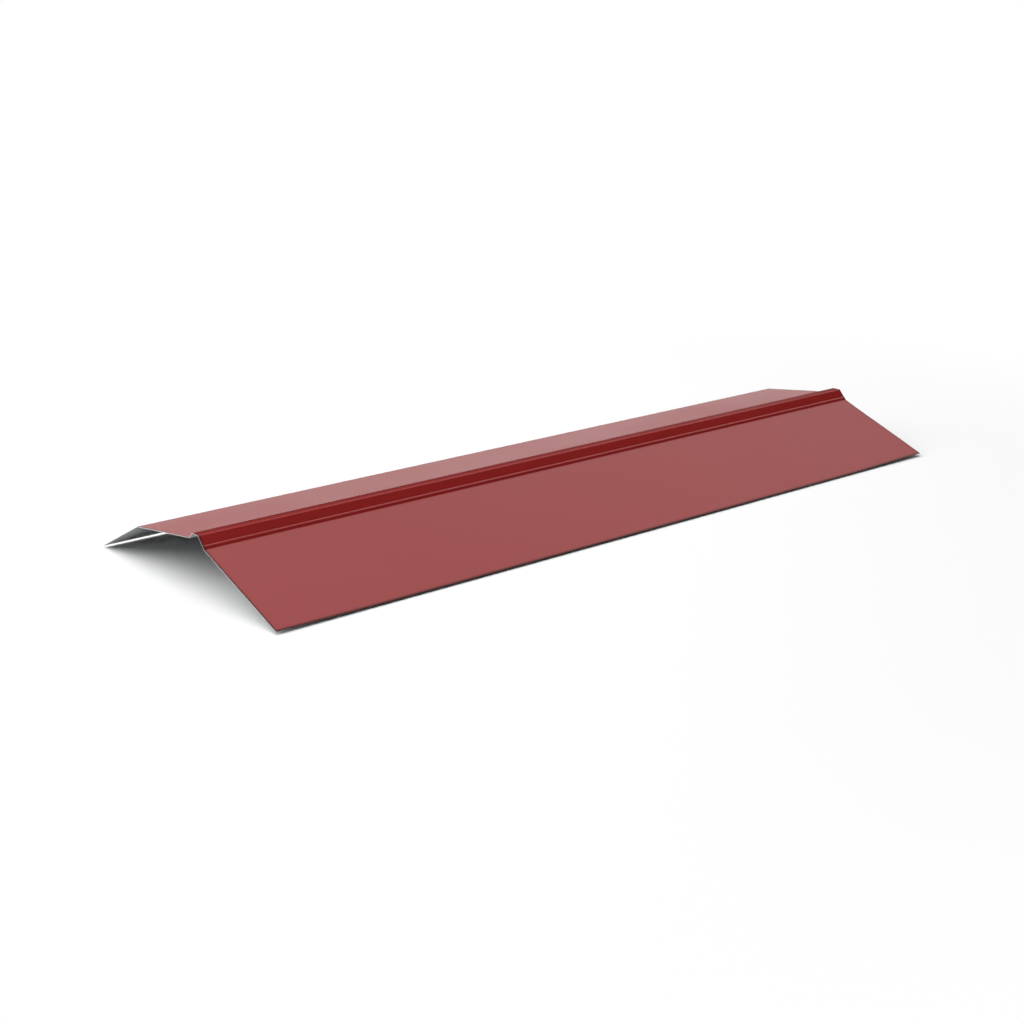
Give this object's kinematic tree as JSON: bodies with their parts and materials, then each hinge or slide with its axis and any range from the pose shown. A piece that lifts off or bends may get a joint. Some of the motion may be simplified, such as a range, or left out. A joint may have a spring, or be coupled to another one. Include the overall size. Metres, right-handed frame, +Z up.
{
  "type": "roof hip capping",
  "caption": "Long folded capping of red pre-painted steel for a roof hip: a raised rib between a plain wing and a wider wing that bends down towards its edge.",
  "frame": {"origin": "on the floor, under the middle of the length and of the span", "axes": "+X along the capping, +Y across it from the plain wing to the wing with the drop panel, +Z up"},
  "size_m": [1.25, 0.4356, 0.0796],
  "materials": {
    "painted_steel": "satin red polyester coat over zinc-coated steel, grey backing coat underneath"
  },
  "bodies": {
    "root": {"capping_sheet": "painted_steel"}
  },
  "joints": []
}
